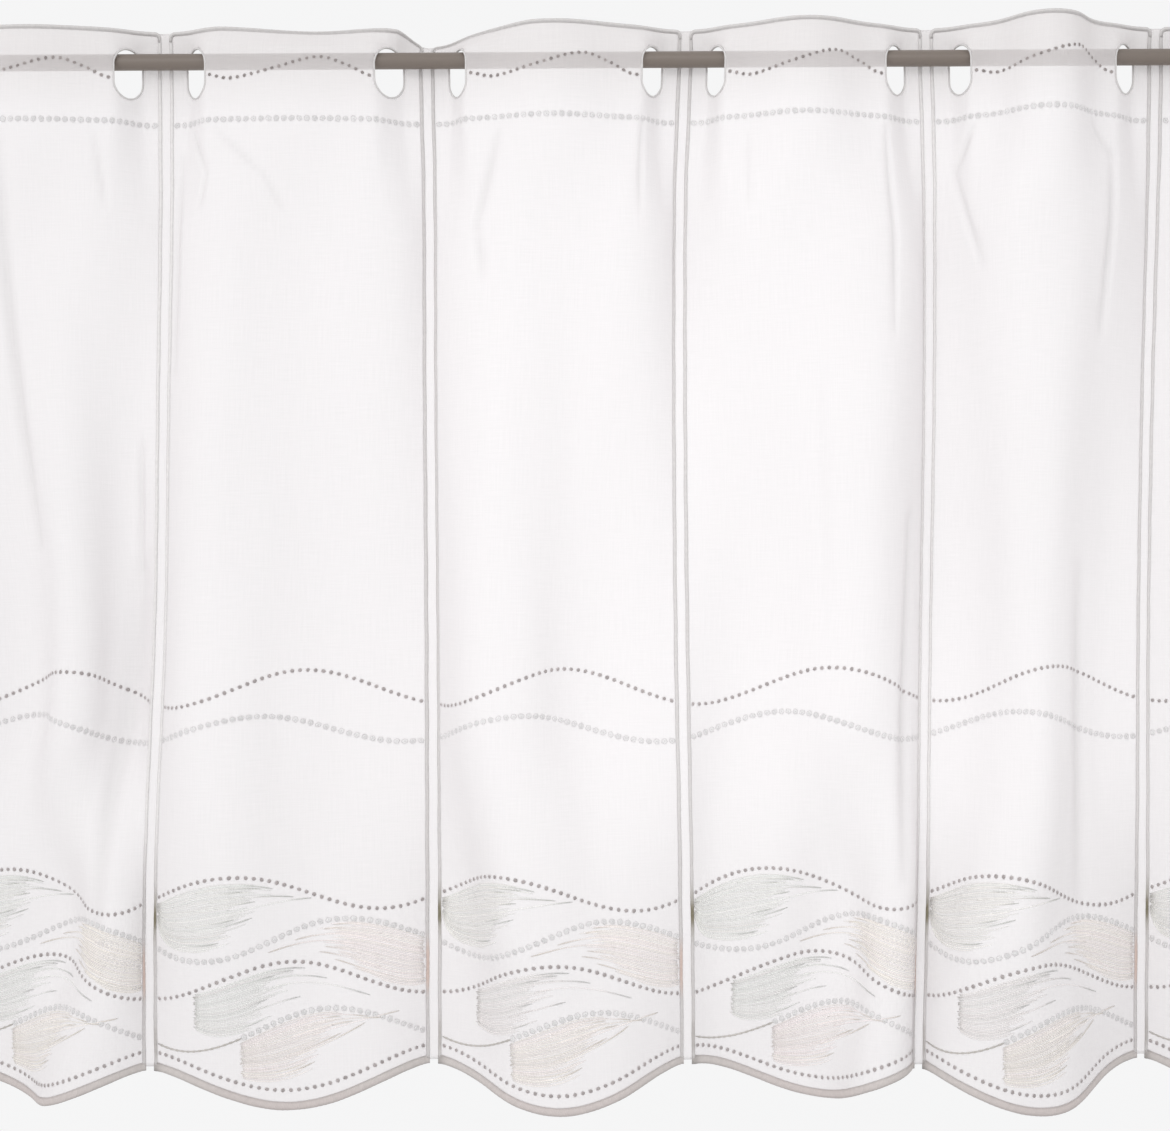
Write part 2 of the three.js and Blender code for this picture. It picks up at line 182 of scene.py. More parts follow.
# The middle surface of one panel on a grid of flat places. At each height the place across is the sum
# of what each step's change of depth leaves of it, spread to end on the next seam.
def hangPanel(i, along, down):
    s, v = np.meshgrid(along, down, indexing="ij")
    y = depthOf(i, s, v)
    step = np.diff(along)[:, None]
    moved = np.sqrt(np.maximum(step**2 - np.diff(y, axis=0) ** 2, 0.01 * step**2))
    x = np.vstack([np.zeros((1, len(down))), np.cumsum(moved, axis=0)])
    begin, end = (throughHeights(seamHeights, seamAcross[n], down) for n in (i, i + 1))
    x = blend(begin, end, x / x[-1])
    above = heading["aboveRod"] - v
    front = np.clip(0.5 - y / heading["depth"] / 2, 0, 1)
    upright = np.minimum(above, heading["bend"] * front)
    leaning = np.maximum(above - upright, 0)
    lean = leanAt(s + i * panel["width"])
    return joined(x, y + leaning * np.sin(lean), upright + leaning * np.cos(lean))


# Soft creases pressed into each panel: across and down at its start and at its end, half its width,
# and its depth.
creases = [
    [(62, 58, 70, 285, 3.8, 2.4), (116, 60, 123, 100, 2.2, 1.5), (144, 228, 141, 300, 2.2, 1.8),
     (141, 296, 122, 500, 6.2, 2.0)],
    [(18, 58, 30, 80, 1.8, 1.3), (30, 80, 24, 100, 1.8, 1.2), (36, 58, 62, 82, 2.0, 1.3),
     (62, 82, 73, 102, 2.0, 1.2), (9, 70, 8, 190, 2.6, 1.7)],
    [(47, 60, 32, 112, 2.4, 2.0), (32, 112, 37, 140, 2.4, 1.5), (130, 52, 127, 104, 2.0, 1.3)],
    [(127, 56, 124, 170, 2.2, 1.8), (43, 60, 44, 104, 2.0, 0.9), (80, 190, 84, 330, 4.0, 0.5),
     (139, 270, 137, 470, 4.6, 2.4)],
    [(30, 56, 15, 82, 2.4, 1.7), (15, 82, 37, 134, 2.4, 1.6), (108, 56, 124, 74, 2.6, 1.6),
     (124, 74, 118, 170, 3.0, 2.2), (110, 300, 112, 480, 5.0, 2.0)],
    [(34, 58, 28, 120, 2.4, 1.4), (96, 60, 104, 150, 2.8, 1.4)],
]

# Ripples beside the satin columns, and a slow drift, both only in the body of the cloth.
relief = {"pucker": 0.35, "puckerPitch": 13, "puckerReach": 9, "puckerRise": 3, "drift": 0.5,
          "body": (60, 110)}

grid = {"columns": 316, "rows": 300, "down": 600}


# How deep a panel's creases are at its flat places: a bell section along each, shallower at its ends.
def creaseDepth(i, s, v):
    total = np.zeros_like(s)
    for s1, v1, s2, v2, width, depth in creases[i]:
        t = ((s - s1) * (s2 - s1) + (v - v1) * (v2 - v1)) / ((s2 - s1) ** 2 + (v2 - v1) ** 2)
        near = np.clip(t, 0, 1)
        away = np.hypot(s - blend(s1, s2, near), v - blend(v1, v2, near))
        ends = np.sin(np.pi * np.clip(t * 0.8 + 0.1, 0, 1)) ** 0.7
        total += depth * ends * np.exp(-(away / width) ** 2)
    return total


# How far small relief moves the cloth along its normal: troughs at the creases, a sine of the height
# beside each satin column, and a product of slow sines across and down.
def reliefAt(i, s, v):
    side = np.minimum(s, panel["width"] - s)
    phase = 2 * np.pi * v / relief["puckerPitch"] + 1.7 * np.sin(v / 31)
    phase = phase + np.where(s < panel["width"] / 2, 0, 2)
    body = 1 - fade(v, *relief["body"])
    rise = np.clip((side - panel["inset"]) / relief["puckerRise"], 0, 1)
    pucker = relief["pucker"] * body * rise * np.exp(-side / relief["puckerReach"]) * np.sin(phase)
    drift = relief["drift"] * np.sin(np.pi * s / panel["width"]) * body * (
        np.sin(s / 9 + 0.8 * np.sin(v / 55 + i) + 2.3 * i) * np.sin(v / 70 + 1.3 * i)
        + 0.6 * np.sin(s / 5.2 - v / 90 + 4 * i) * np.sin(v / 38 + i))
    return pucker + drift - creaseDepth(i, s, v)


# A surface's normals towards the room, crossed from its steps down and across.
def outward(places):
    out = np.cross(np.gradient(places, axis=1), np.gradient(places, axis=0))
    out /= np.linalg.norm(out, axis=-1, keepdims=True)
    return out * np.where(out[..., 1:2] > 0, -1, 1)


# Every panel's hung surface and its normals, on one fine grid of flat places.
def hungSurface():
    along = np.linspace(0, panel["width"], grid["columns"] + 1)
    down = np.linspace(0, grid["down"], grid["rows"] + 1)
    s, v = np.meshgrid(along, down, indexing="ij")
    smooth = [hangPanel(i, along, down) for i in panels]
    places = [smooth[i] + outward(smooth[i]) * reliefAt(i, s, v)[..., None] for i in panels]
    return np.stack(places), np.stack([outward(p) for p in places])


hungPlaces, hungNormals = hungSurface()
print("cloth hung")


# Places on the hung cloth, lifted towards the room, by linear steps between the grid's places.
def onCloth(across, down, lift=0.0):
    across, down, lift = (np.asarray(x, float) for x in np.broadcast_arrays(across, down, lift))
    i = np.clip((across // panel["width"]).astype(int), 0, panel["count"] - 1)
    columns, rows, short = grid["columns"], grid["rows"], 1e-4
    a = np.clip((across - i * panel["width"]) / panel["width"] * columns, 0, columns - short)
    b = np.clip(down / grid["down"] * rows, 0, rows - short)
    ia, ib = a.astype(int), b.astype(int)
    fa, fb = (a - ia)[..., None], (b - ib)[..., None]

    def pick(field):
        return ((field[i, ia, ib] * (1 - fa) + field[i, ia + 1, ib] * fa) * (1 - fb)
                + (field[i, ia, ib + 1] * (1 - fa) + field[i, ia + 1, ib + 1] * fa) * fb)

    return pick(hungPlaces) + pick(hungNormals) * lift[..., None]


def addObject(name, data):
    made = bpy.data.objects.new(name, data)
    bpy.context.scene.collection.objects.link(made)
    return made


# A mesh piece from places in millimetres and its four-sided and three-sided faces. thread is a place
# on the flat cloth or along the thread for each corner, and dye one colour or one for each place.
def makePiece(name, places, quads, tris=None, thread=None, dye=None):
    mesh = bpy.data.meshes.new(name)
    tris = np.zeros((0, 3), int) if tris is None else tris
    corners = np.concatenate([quads.ravel(), tris.ravel()])
    starts = np.concatenate([np.arange(len(quads)) * 4, len(quads) * 4 + np.arange(len(tris)) * 3])
    mesh.vertices.add(len(places))
    mesh.vertices.foreach_set("co", (places * mm).astype(np.float32).ravel())
    mesh.loops.add(len(corners))
    mesh.loops.foreach_set("vertex_index", corners.astype(np.int32))
    mesh.polygons.add(len(starts))
    mesh.polygons.foreach_set("loop_start", starts.astype(np.int32))
    mesh.polygons.foreach_set("use_smooth", np.ones(len(starts), bool))
    mesh.update(calc_edges=True)
    if thread is not None:
        layer = mesh.uv_layers.new(name="thread")
        layer.uv.foreach_set("vector", (thread * mm).astype(np.float32).ravel())
    if dye is not None:
        layer = mesh.attributes.new("dye", "FLOAT_COLOR", "POINT")
        whole = np.ones((len(places), 4), np.float32)
        whole[:, :3] = dye
        layer.data.foreach_set("color", whole.ravel())
    piece = addObject(name, mesh)
    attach(piece, "root")
    return piece


# Quads between neighbouring rows of a grid of places, numbered row by row.
def gridQuads(rows, columns, wrapRows=False, wrapColumns=False):
    r = np.arange(rows if wrapRows else rows - 1)
    c = np.arange(columns if wrapColumns else columns - 1)
    r, c = np.meshgrid(r, c, indexing="ij")
    r2, c2 = (r + 1) % rows, (c + 1) % columns
    return joined(r * columns + c, r2 * columns + c, r2 * columns + c2, r * columns + c2).reshape(-1, 4)


# The same for tubes of one size, numbered one after another, each a row of rings.
def tubeQuads(count, steps, around, looped=False):
    first = np.arange(count)[:, None, None] * steps * around
    return (first + gridQuads(steps, around, looped, True)).reshape(-1, 4)


# Triangles that close such tubes at both ends, on poles that are numbered after all the rings.
def tubeCaps(count, steps, around):
    ring, turned = np.arange(around), (np.arange(around) + 1) % around
    near = np.arange(count)[:, None] * steps * around
    far = near + (steps - 1) * around
    pole = count * steps * around + np.arange(count)[:, None] * 2
    return np.concatenate([joined(pole, near + ring, near + turned),
                           joined(pole + 1, far + turned, far + ring)]).reshape(-1, 3)


# sRGB numbers from 0 to 255 as linear colour.
def tint(r, g, b):
    c = np.array([r, g, b]) / 255
    return np.where(c <= 0.04045, c / 12.92, ((c + 0.055) / 1.055) ** 2.4)


# The hem's scallop: its middle height less a cosine over each panel.
def hemLine(across):
    return hem["middle"] - hem["swing"] * np.cos(2 * np.pi * across / panel["width"])


# Where a panel's two satin columns stand on the flat cloth.
def columnPlaces(i):
    return i * panel["width"] + panel["inset"], (i + 1) * panel["width"] - panel["inset"]


# Stitching laid along flat paths: tubes of an oval section on the cloth. paths is tubes x steps x 2,
# wide and high are half sizes at each step, and profile scales the height over the section, by how
# far across it, from -1 to 1. A looped tube closes on itself, any other ends in a point at each end.
# The result goes to makePiece: places, quads, tris and the thread's run at each corner.
def stitchTubes(paths, wide, high, around, profile=None, looped=False):
    count, steps = paths.shape[:2]
    wide, high = (np.broadcast_to(np.asarray(x, float), (count, steps)) for x in (wide, high))
    ahead = np.roll(paths, -1, 1) - np.roll(paths, 1, 1)
    if not looped:
        ahead[:, 0] = paths[:, 1] - paths[:, 0]
        ahead[:, -1] = paths[:, -1] - paths[:, -2]
    ahead /= np.linalg.norm(ahead, axis=-1, keepdims=True)
    side = joined(-ahead[..., 1], ahead[..., 0])
    angle = 2 * np.pi * (np.arange(around) + 0.5) / around
    over = np.cos(angle)
    tall = np.sin(angle) * (1 if profile is None else profile(over))
    flat = paths[:, :, None] + side[:, :, None] * (wide[..., None] * over)[..., None]
    places = onCloth(flat[..., 0], flat[..., 1], high[..., None] * tall).reshape(-1, 3)
    quads = tubeQuads(count, steps, around, looped)
    moved = np.linalg.norm(np.roll(paths, -1, 1) - paths, axis=-1)
    along = np.concatenate([np.zeros((count, 1)), np.cumsum(moved, axis=1)], axis=1)
    out = np.concatenate([wide, wide[:, :1]], axis=1)[..., None] * over
    run = joined(out, along[..., None])
    unrolled = gridQuads(steps + 1, around, False, True)[:len(quads) // count]
    thread = run.reshape(count, -1, 2)[:, unrolled.ravel()].reshape(-1, 2)
    if looped:
        return places, quads, None, thread
    poles = onCloth(paths[:, [0, -1], 0], paths[:, [0, -1], 1]).reshape(-1, 3)
    caps = tubeCaps(count, steps, around)
    thread = np.concatenate([thread, np.zeros((caps.size, 2))])
    return np.concatenate([places, poles]), quads, caps, thread


voile = {
    "thickness": 0.5, "top": 0.9, "step": 2.4, "slotStep": 1.15, "slotRows": (7.5, 42),
    "slotMargin": 3, "row": 3, "longRow": 4.4, "longFrom": 180, "hemFrom": 470, "shortest": 0.05,
}


# How far across its panel a slot's middle is.
def slotMiddle(i, side):
    middle = slot["inner"] + slots[i][side] / 2
    return middle if side == "left" else panel["width"] - middle


# A panel's slots as stadiums: how far each flat place is outside the nearest outline, below 0 inside,
# and the direction away from it.
def slotDistance(i, s, v):
    least, way = np.full(s.shape, 1e9), np.zeros(s.shape + (2,))
    for side in sides:
        width = slots[i][side]
        near = np.clip(v, slot["top"] + width / 2, slot["bottom"] - width / 2)
        reach = joined(s - slotMiddle(i, side), v - near)
        length = np.linalg.norm(reach, axis=-1)
        away = length - width / 2
        closer = np.abs(away) < np.abs(least)
        way = np.where(closer[..., None], reach / np.maximum(length, 1e-6)[..., None], way)
        least = np.where(closer, away, least)
    return least, way


# One panel's sheet spans from under the column left of its left seam to the same place at its right.
def sheetSpan(i):
    return (0 if i == 0 else -panel["inset"],
            panel["width"] - (0 if i == panel["count"] - 1 else panel["inset"]))


# One panel's sheet: rows and columns of flat places, closer together at the slots, drawn onto the
# slots' outlines beside them, left out inside them, and stretched down to the hem's line.
def voileSheet(i):
    wide, inner, margin, step = panel["width"], slot["inner"], voile["slotMargin"], voile["slotStep"]
    begin, end = sheetSpan(i)
    stops = [begin, inner - margin, inner + slots[i]["left"] + margin,
             wide - inner - slots[i]["right"] - margin, wide - inner + margin, end]
    sizes = [voile["step"], step, voile["step"], step, voile["step"]]
    spaced = [np.linspace(a, b, int(np.ceil((b - a) / size)), endpoint=False)
              for a, b, size in zip(stops, stops[1:], sizes)]
    top, bottom = voile["slotRows"]
    rows = [np.linspace(voile["top"], top, 4, endpoint=False), np.arange(top, bottom, step),
            np.arange(bottom, voile["longFrom"], voile["row"]),
            np.arange(voile["longFrom"], hem["middle"], voile["longRow"]), [hem["middle"]]]
    s, v = np.meshgrid(np.concatenate(spaced + [[end]]), np.concatenate(rows), indexing="ij")
    low = voile["hemFrom"]
    v = np.where(v > low, low + (v - low) * (hemLine(s) - low) / (hem["middle"] - low), v)
    quads = gridQuads(*s.shape)
    centre = joined(s, v).reshape(-1, 2)[quads].mean(axis=1)
    away, way = slotDistance(i, s, v)
    snapped = (np.abs(away) < step / 2)[..., None] * way * away[..., None]
    s, v = s - snapped[..., 0], v - snapped[..., 1]
    quads = quads[slotDistance(i, centre[:, 0], centre[:, 1])[0] > 0]
    used, quads = np.unique(quads, return_inverse=True)
    quads = quads.reshape(-1, 4)[:, ::-1]
    s, v = s.ravel()[used], v.ravel()[used]
    flat = joined(s + i * wide, v)
    piece = makePiece(f"voile_panel_{i + 1}", onCloth(flat[:, 0], v), quads, thread=flat[quads.ravel()])
    # The crease depth at each place, from which the material paints shade in the creases.
    creaseShade = piece.data.attributes.new("creaseShade", "FLOAT", "POINT")
    creaseShade.data.foreach_set("value", creaseDepth(i, s, v).astype(np.float32))
    tidy = bmesh.new()
    tidy.from_mesh(piece.data)
    bmesh.ops.dissolve_degenerate(tidy, dist=voile["shortest"] * mm, edges=tidy.edges)
    tidy.to_mesh(piece.data)
    tidy.free()
    solid = piece.modifiers.new("thickness", "SOLIDIFY")
    solid.thickness = voile["thickness"] * mm
    solid.offset = 0
    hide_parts("curtain_cloth", f"heading_panel_{i + 1}")
    return piece


sheets = [voileSheet(i) for i in panels]
print("voile made")


# Uneven hand of the stitching along a line: a few slow waves and a little scatter, about 1.
def uneven(along, amount, seed):
    waves = sum(np.sin(along / size + seed * (1.7 + n)) for n, size in enumerate((2.3, 6.1, 17)))
    return 1 + amount * (waves / 3 + 0.6 * np.sin(along * 2.9 + 5 * seed))


# A dye at each step of each tube, spread to its places as stitchTubes numbers them, and scaled by a
# painted shade by how far across the section each lies.
def sectionDyeAndShade(dye, around, shade=np.ones_like):
    over = np.cos(2 * np.pi * (np.arange(around) + 0.5) / around)
    rings = (dye[:, :, None] * shade(over)[:, None]).reshape(-1, 3)
    return np.concatenate([rings, dye[:, [0, -1]].reshape(-1, 3)])


# A piece of satin stitching in place of its solid.
def satinPiece(name, node, tubes, dye):
    piece = makePiece(name, *tubes, dye)
    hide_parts(node)
    return piece


# A column's thread is pale by a share at each seam, down to where the pale ends, and each spot is
# where it changes colour beside a patch.
column = {
    "wide": 1.08, "high": 0.66, "step": 1.6, "top": 4.6, "past": 0.6, "sides": 8, "dye": (204, 201, 200),
    "pale": (227, 225, 224), "paleAtSeam": [0, 0.95, 0, 0.15, 0.7, 0.3, 0], "paleEnds": (430, 485),
    "left": [{"down": 490, "half": 14, "dye": (172, 168, 161)},
             {"down": 491, "half": 6, "dye": (170, 166, 160)},
             {"down": 560, "half": 9, "dye": (186, 182, 179)}],
    "right": [{"down": 521, "half": 14, "dye": (206, 186, 177)}],
}


# A straight line of stitching down the cloth, with a slow waver.
def satinColumn(i, side):
    isRight = side == "right"
    at = columnPlaces(i)[isRight]
    down = np.arange(column["top"], hemLine(at) + column["past"], column["step"])
    seed = 2 * i + isRight
    path = joined(at + 0.1 * np.sin(down / 7.0 + seed), down)[None]
    wide = column["wide"] * uneven(down, 0.07, seed)
    high = column["high"] * uneven(down, 0.08, seed + 3)
    plain = tint(*column["dye"])
    pale = column["paleAtSeam"][i + isRight] * fade(down, *column["paleEnds"])
    dye = blend(plain, tint(*column["pale"]), pale[:, None])
    for spot in column[side]:
        near = np.exp(-((down - spot["down"]) / spot["half"]) ** 4)
        dye = dye + near[:, None] * (tint(*spot["dye"]) - plain)
    # Painted shade: darker towards the column's sides.
    shade = lambda over: 1 - 0.2 * np.abs(over) ** 3
    return satinPiece(f"satin_line_{i + 1}_{side}", f"satin_column_{i + 1}_{side}",
                      stitchTubes(path, wide, high, column["sides"]),
                      sectionDyeAndShade(dye[None], column["sides"], shade))


cord = {"wide": 1.25, "high": 0.75, "middle": 1.25, "corner": 2.6, "drop": 1.6, "step": 1.3, "sides": 12,
        "dye": (203, 200, 199)}


# Two soft strands side by side: the section dips in its middle.
def twoStrands(over):
    return 0.72 + 0.5 * np.abs(np.sin(1.35 * np.pi * over)) * (1 - over**8)


# The cord along a panel's top edge turns down into its two columns with a round corner.
def topCord(i):
    begin, end = columnPlaces(i)
    r, m = cord["corner"], cord["middle"]
    turn = np.linspace(0, np.pi / 2, 7)
    left = joined(begin + r - r * np.cos(turn), m + r - r * np.sin(turn))
    right = joined(end - r + r * np.sin(turn), m + r - r * np.cos(turn))
    over = np.linspace(begin + r, end - r, int((end - begin - 2 * r) / cord["step"]))[1:-1]
    drop = np.array([[0, cord["drop"]]])
    path = np.concatenate([left[:1] + drop, left, joined(over, m), right, right[-1:] + drop])
    along, level = path[:, 0], fade(path[:, 1], m, m + r)
    wide = blend(column["wide"], cord["wide"], level) * uneven(along, 0.05, i)
    high = cord["high"] * uneven(along, 0.08, i + 9)
    dye = np.broadcast_to(tint(*cord["dye"]), (1, len(path), 3))
    # Painted shade: the lower strand and the sides darker, the upper strand a little lighter.
    shade = lambda over: 1.04 - 0.16 * (over > 0.1) - 0.1 * over**4
    return satinPiece(f"edge_cord_{i + 1}", f"top_cord_{i + 1}",
                      stitchTubes(path[None], wide, high, cord["sides"], profile=twoStrands),
                      sectionDyeAndShade(dye, cord["sides"], shade))


# The border's dye turns pinker towards a panel's middle, and dark and knotted at its left column.
border = {"wide": 2.4, "high": 0.85, "step": 1.2, "past": 1, "sides": 14, "dye": (199, 193, 190),
          "pinker": (198, 186, 184)}


# Three lines side by side, the middle one the highest.
def threeLines(over):
    return 0.8 + 0.28 * np.cos(3 * np.pi * over) * (1 - over**8)


# Stitching along the hem's line, thicker where it begins.
def hemBorder(i):
    begin, end = columnPlaces(i)
    over = np.linspace(begin - border["past"], end + border["past"], int((end - begin) / border["step"]))
    path = joined(over, hemLine(over))
    knot = 1 + 0.12 * np.exp(-((over - begin) / 2.5) ** 2)
    wide = border["wide"] * uneven(over, 0.04, i) * knot
    high = border["high"] * uneven(over, 0.07, i + 5) * knot
    plain = tint(*border["dye"])
    pinker = np.sin(np.pi * np.clip(over / panel["width"] - i, 0, 1)) ** 2 * 0.5
    dye = blend(plain, tint(*border["pinker"]), pinker[:, None])
    dye = dye * (1 - 0.3 * np.exp(-((over - begin) / 3.0) ** 2))[:, None]
    # Painted shade: darker towards the border's sides, a little lighter in its middle.
    shade = lambda over: 1.05 - 0.42 * np.abs(over) ** 3
    return satinPiece(f"scallop_border_{i + 1}", f"hem_border_{i + 1}",
                      stitchTubes(path[None], wide, high, border["sides"], profile=threeLines),
                      sectionDyeAndShade(dye[None], border["sides"], shade))


rim = {"wide": 0.52, "high": 0.6, "steps": 76, "sides": 8, "dye": (208, 206, 205)}


# Buttonhole stitching round a slot: a stadium path on the flat cloth.
def slotRim(i, side):
    width = slots[i][side]
    radius = width / 2 - rim["wide"] / 2
    straight = slot["bottom"] - slot["top"] - width
    arc = np.pi * radius
    length = 2 * arc + 2 * straight
    run = np.arange(rim["steps"]) / rim["steps"] * length
    parts = [run < arc, run < arc + straight, run < 2 * arc + straight]
    turn = np.select(parts, [run / radius, np.pi, np.pi + (run - arc - straight) / radius], 2 * np.pi)
    shift = np.select(parts, [0, run - arc, straight], straight - (run - 2 * arc - straight))
    path = joined(i * panel["width"] + slotMiddle(i, side) + radius * np.cos(turn),
                  slot["bottom"] - width / 2 - shift + radius * np.sin(turn))[None]
    wide = rim["wide"] * (1 + 0.08 * np.sin(run / length * 26 * np.pi + i + 0.5 * (side == "left")))
    return satinPiece(f"buttonhole_{i + 1}_{side}", f"slot_rim_panel{i + 1}_{side}",
                      stitchTubes(path, wide, rim["high"], rim["sides"], looped=True), tint(*rim["dye"]))


columns = [satinColumn(i, side) for i in panels for side in sides]
cords = [topCord(i) for i in panels]
borders = [hemBorder(i) for i in panels]
rims = [slotRim(i, side) for i in panels for side in sides]
print("satin edges made")


rod = {"radius": 4.5, "length": 870, "sides": 64, "bevel": 0.6, "dye": (119, 109, 101)}


# A round bar with rounded ends: rings along X, a quarter circle in size at each end, closed by poles.
def makeRod():
    r, b, long = rod["radius"], rod["bevel"], rod["length"]
    turn = np.linspace(0, np.pi / 2, 5)
    x = np.concatenate([b - b * np.cos(turn), [long / 3, long * 2 / 3], long - b + b * np.sin(turn)])
    size = np.concatenate([r - b + b * np.sin(turn), [r, r], r - b + b * np.cos(turn)])
    angle = 2 * np.pi * np.arange(rod["sides"]) / rod["sides"]
    rings = joined(x[:, None], size[:, None] * np.cos(angle), size[:, None] * np.sin(angle))
    places = np.concatenate([rings.reshape(-1, 3), [[0, 0, 0], [long, 0, 0]]])
    piece = makePiece("curtain_rod", places, tubeQuads(1, len(x), rod["sides"])[:, ::-1],
                      tubeCaps(1, len(x), rod["sides"])[:, ::-1])
    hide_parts("rod")
    return piece


bar = makeRod()
print("rod made")


# The pattern's wavy lines: middle + swing * cos(2 pi (t - lowest)) down from the top edge, where t is
# the share of the panel's width. The dark one between a panel's two slots goes through its own places.
waves = {
    "top": {"shares": [0.19, 0.28, 0.44, 0.6, 0.7, 0.79], "down": [26.5, 29.1, 24, 18, 22.3, 28]},
    "arch": {"middle": 51.7, "swing": 0, "lowest": 0},
    "upperDark": {"middle": 365, "swing": 10.2, "lowest": 0.068},
    "upperPale": {"middle": 387.5, "swing": 7.9, "lowest": 0.913},
    "firstDark": {"middle": 476.5, "swing": 10.4, "lowest": 0.829},
    "firstPale": {"middle": 502.1, "swing": 10.5, "lowest": 0.196},
    "secondDark": {"middle": 524.7, "swing": 10.9, "lowest": 0.002},
    "secondPale": {"middle": 551.6, "swing": 11.3, "lowest": 0.138},
    "hemDark": {"middle": 574.9, "swing": 9.7, "lowest": 0.494},
}

# Rows of knots along the wavy lines, each from the share of the width that stands beside its name.
# They keep an inset from the seams, and the top one from the slots.
lens = {"around": 9, "petals": 0, "pinch": 0, "dip": 1}
knots = {
    "dark": {**lens, "pitch": 4.2, "size": 1.25, "height": 0.52, "inset": 6.2, "dye": (170, 163, 162),
             "spread": (0.88, 1.1),
             "rows": {"upperDark": 0, "firstDark": 0, "secondDark": 0, "hemDark": 0}},
    "top": {**lens, "pitch": 3.95, "size": 1.15, "height": 0.5, "inset": 2.6, "dye": (150, 143, 141),
            "spread": (0.8, 1.2), "rows": {"top": 0}},
    "pale": {"pitch": 4.3, "size": 1.82, "height": 0.4, "around": 20, "petals": 5, "pinch": 0.14,
             "dip": 0.55, "inset": 6.4, "dye": (220, 219, 219), "spread": (0.92, 1.06),
             "rows": {"arch": 0, "upperPale": 0, "firstPale": 0, "secondPale": 0.35}},
}


def waveLine(name, t):
    wave = waves[name]
    if "shares" in wave:
        return throughHeights(wave["shares"], wave["down"], t)
    return wave["middle"] + wave["swing"] * np.cos(2 * np.pi * (t - wave["lowest"]))


# Flat places at an even pitch along a wavy line of a panel, from share first to share last.
def evenPlaces(i, name, first, last, pitch):
    t = np.linspace(first, last, 1200)
    steps = np.hypot(np.diff(t) * panel["width"], np.diff(waveLine(name, t)))
    run = np.concatenate([[0], np.cumsum(steps)])
    t = np.interp(np.linspace(0, run[-1], int(round(run[-1] / pitch)) + 1), run, t)
    return joined((i + t) * panel["width"], waveLine(name, t))


# Small raised knots, dark as a lens and pale as a petalled one, on both faces of the cloth: rings of
# an eased radius, closed by a pole on each side.
def makeKnots(i, label):
    kind = knots[label]
    first, last = (kind["inset"] + (label == "top") * (slot["inner"] + slots[i][side]) for side in sides)
    first, last = first / panel["width"], 1 - last / panel["width"]
    places = np.concatenate([evenPlaces(i, name, max(first, start), last, kind["pitch"])
                             for name, start in kind["rows"].items()])
    count, around = len(places), kind["around"]
    dyes = tint(*kind["dye"]) * rng.uniform(*kind["spread"], (count, 1))
    level = np.radians([-52, 0, 52])
    angle = 2 * np.pi * np.arange(around) / around
    edge = 1 - kind["pinch"] * (0.5 - 0.5 * np.cos(kind["petals"] * angle))
    turn = rng.uniform(0, 2 * np.pi, count)[:, None, None]
    size = kind["size"] * rng.uniform(0.94, 1.06, count)[:, None, None]
    stretch = rng.uniform(0.9, 1.12, count)[:, None, None]
    radius = size * edge * np.cos(level)[:, None]
    x, y = radius * np.cos(angle) * stretch, radius * np.sin(angle) / stretch
    across = places[:, 0][:, None, None] + x * np.cos(turn) - y * np.sin(turn)
    down = places[:, 1][:, None, None] + x * np.sin(turn) + y * np.cos(turn)
    rings = onCloth(across, down, kind["height"] * np.sin(level)[:, None]).reshape(-1, 3)
    dip = kind["height"] * kind["dip"]
    poles = onCloth(places[:, :1], places[:, 1:], np.array([[-dip, dip]])).reshape(-1, 3)
    dye = np.concatenate([np.repeat(dyes, 3 * around, axis=0), np.repeat(dyes, 2, axis=0)])
    return makePiece(f"{label}_knots_{i + 1}", np.concatenate([rings, poles]),
                     tubeQuads(count, 3, around), tubeCaps(count, 3, around), dye=dye)


darkRows, topRows, paleRows = ([makeKnots(i, label) for i in panels] for label in knots)
print("knots made")


